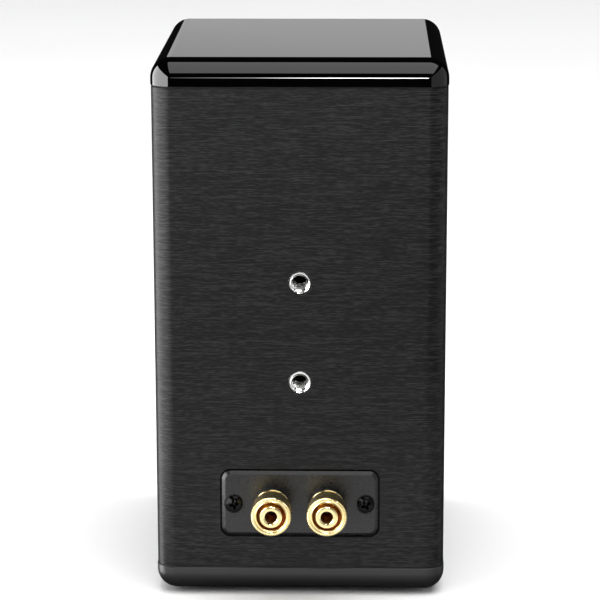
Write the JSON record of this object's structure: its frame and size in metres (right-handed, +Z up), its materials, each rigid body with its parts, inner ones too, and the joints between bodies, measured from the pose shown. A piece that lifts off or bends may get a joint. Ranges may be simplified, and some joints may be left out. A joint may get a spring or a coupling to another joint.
{
  "type": "bookshelf speaker",
  "caption": "Small two-way bookshelf speaker with a black wrapped cabinet, glossy end caps, pull-off cloth grille, gold screw-down binding posts and threaded rear inserts.",
  "frame": {"origin": "on the floor, under the middle of the overall box", "axes": "+Z up, the grille faces -Y, the rear terminals face +Y"},
  "size_m": [0.1004, 0.128, 0.1885],
  "materials": {
    "mdf": "raw fibreboard",
    "baffle_black": "matt black painted board",
    "black_ash_vinyl": "fine grained satin vinyl",
    "cap_gloss": "polished piano black",
    "cap_satin": "satin black",
    "foot_rubber": "soft matt",
    "zinc_steel": "bright zinc plating",
    "insert_nickel": "bright nickel plating",
    "plate_plastic": "fine textured satin",
    "foam": "closed cell foam",
    "black_screw": "black oxide",
    "gold_plate": "bright gold plating",
    "tinned_brass": "tinned",
    "basket_steel": "black powder coat",
    "ferrite": "dark grey sintered",
    "tag_board": "phenolic board with tinned tags",
    "cone_paper": "coated pulp",
    "former_kapton": "film",
    "copper_winding": "enamelled copper",
    "surround_rubber": "smooth butyl rubber",
    "spider_cloth": "resin dipped cotton",
    "faceplate_plastic": "satin moulded",
    "dome_silk": "doped silk weave",
    "circuit_board": "solder mask",
    "nylon": "natural nylon",
    "capacitor_film": "film sleeve",
    "resistor_cement": "unglazed",
    "lead_pvc_red": "soft insulation",
    "lead_pvc_grey": "soft insulation",
    "lead_pvc_blue": "soft insulation",
    "polyester_wadding": "loose fibre",
    "grille_plastic": "moulded",
    "grille_fabric": "knitted acoustic cloth",
    "socket_rubber": "matt"
  },
  "bodies": {
    "cabinet": {"side_board_left": "mdf", "side_board_right": "mdf", "rear_board": "mdf", "front_baffle": "baffle_black", "top_board": "mdf", "bottom_board": "mdf", "vinyl_wrap": "black_ash_vinyl", "top_cap": "cap_gloss", "bottom_cap": "cap_satin", "cap_screws": "zinc_steel", "feet": "foot_rubber", "backing_block": "mdf", "insert_upper": "insert_nickel", "insert_lower": "insert_nickel", "terminal_plate": "plate_plastic", "terminal_gasket": "foam", "terminal_screws": "black_screw", "post_left": "gold_plate", "post_right": "gold_plate", "solder_lugs": "tinned_brass", "post_nuts": "zinc_steel", "woofer_flange": "basket_steel", "woofer_basket": "basket_steel", "woofer_gasket": "foam", "woofer_screws": "black_screw", "woofer_top_plate": "zinc_steel", "woofer_magnet": "ferrite", "woofer_yoke": "zinc_steel", "woofer_tag_strip": "tag_board", "tweeter_faceplate": "faceplate_plastic", "tweeter_screws": "black_screw", "tweeter_top_plate": "zinc_steel", "tweeter_magnet": "ferrite", "tweeter_yoke": "zinc_steel", "crossover_board": "circuit_board", "crossover_standoffs": "nylon", "crossover_coil": "copper_winding", "crossover_capacitors": "capacitor_film", "crossover_resistor": "resistor_cement", "input_leads": "lead_pvc_red", "woofer_leads": "lead_pvc_grey", "tweeter_leads": "lead_pvc_blue", "wadding": "polyester_wadding", "grille_sockets": "socket_rubber"},
    "cone_unit": {"woofer_cone": "cone_paper", "woofer_dust_cap": "cone_paper", "woofer_former": "former_kapton", "woofer_winding": "copper_winding", "woofer_surround": "surround_rubber", "woofer_spider": "spider_cloth"},
    "dome_unit": {"tweeter_dome": "dome_silk", "tweeter_coil": "copper_winding", "tweeter_surround": "dome_silk"},
    "grille": {"grille_frame": "grille_plastic", "grille_cloth": "grille_fabric", "grille_pegs": "grille_plastic"},
    "washer_left": {"clamp_washer_left": "gold_plate"},
    "washer_right": {"clamp_washer_right": "gold_plate"},
    "knob_left": {"post_knob_left": "gold_plate"},
    "knob_right": {"post_knob_right": "gold_plate"}
  },
  "joints": [
    {"name": "cone_stroke", "type": "slide", "parent": "cabinet", "child": "cone_unit", "axis": [0, -1, 0], "range_m": [-0.003, 0.003], "stiffness_N_per_m": 1500, "deforming": ["woofer_surround", "woofer_spider"]},
    {"name": "dome_stroke", "type": "slide", "parent": "cabinet", "child": "dome_unit", "axis": [0, -1, 0], "range_m": [-0.0003, 0.0003], "stiffness_N_per_m": 3000, "deforming": ["tweeter_surround"]},
    {"name": "grille_pull", "type": "slide", "parent": "cabinet", "child": "grille", "axis": [0, -1, 0], "range_m": [0, 0.03]},
    {"name": "washer_left_travel", "type": "slide", "parent": "cabinet", "child": "washer_left", "axis": [0, 1, 0], "range_m": [0, 0.0051]},
    {"name": "knob_left_turn", "type": "hinge", "parent": "washer_left", "child": "knob_left", "pos_m": [-0.00953, 0.05725, 0.0339], "axis": [0, 1, 0], "range_deg": [0, 1800]},
    {"name": "washer_right_travel", "type": "slide", "parent": "cabinet", "child": "washer_right", "axis": [0, 1, 0], "range_m": [0, 0.0051]},
    {"name": "knob_right_turn", "type": "hinge", "parent": "washer_right", "child": "knob_right", "pos_m": [0.00953, 0.05725, 0.0339], "axis": [0, 1, 0], "range_deg": [0, 1800]}
  ],
  "couplings": [
    {"joint": "washer_left_travel", "follows": "knob_left_turn", "m_per_rad": 0.00015915},
    {"joint": "washer_right_travel", "follows": "knob_right_turn", "m_per_rad": 0.00015915}
  ]
}
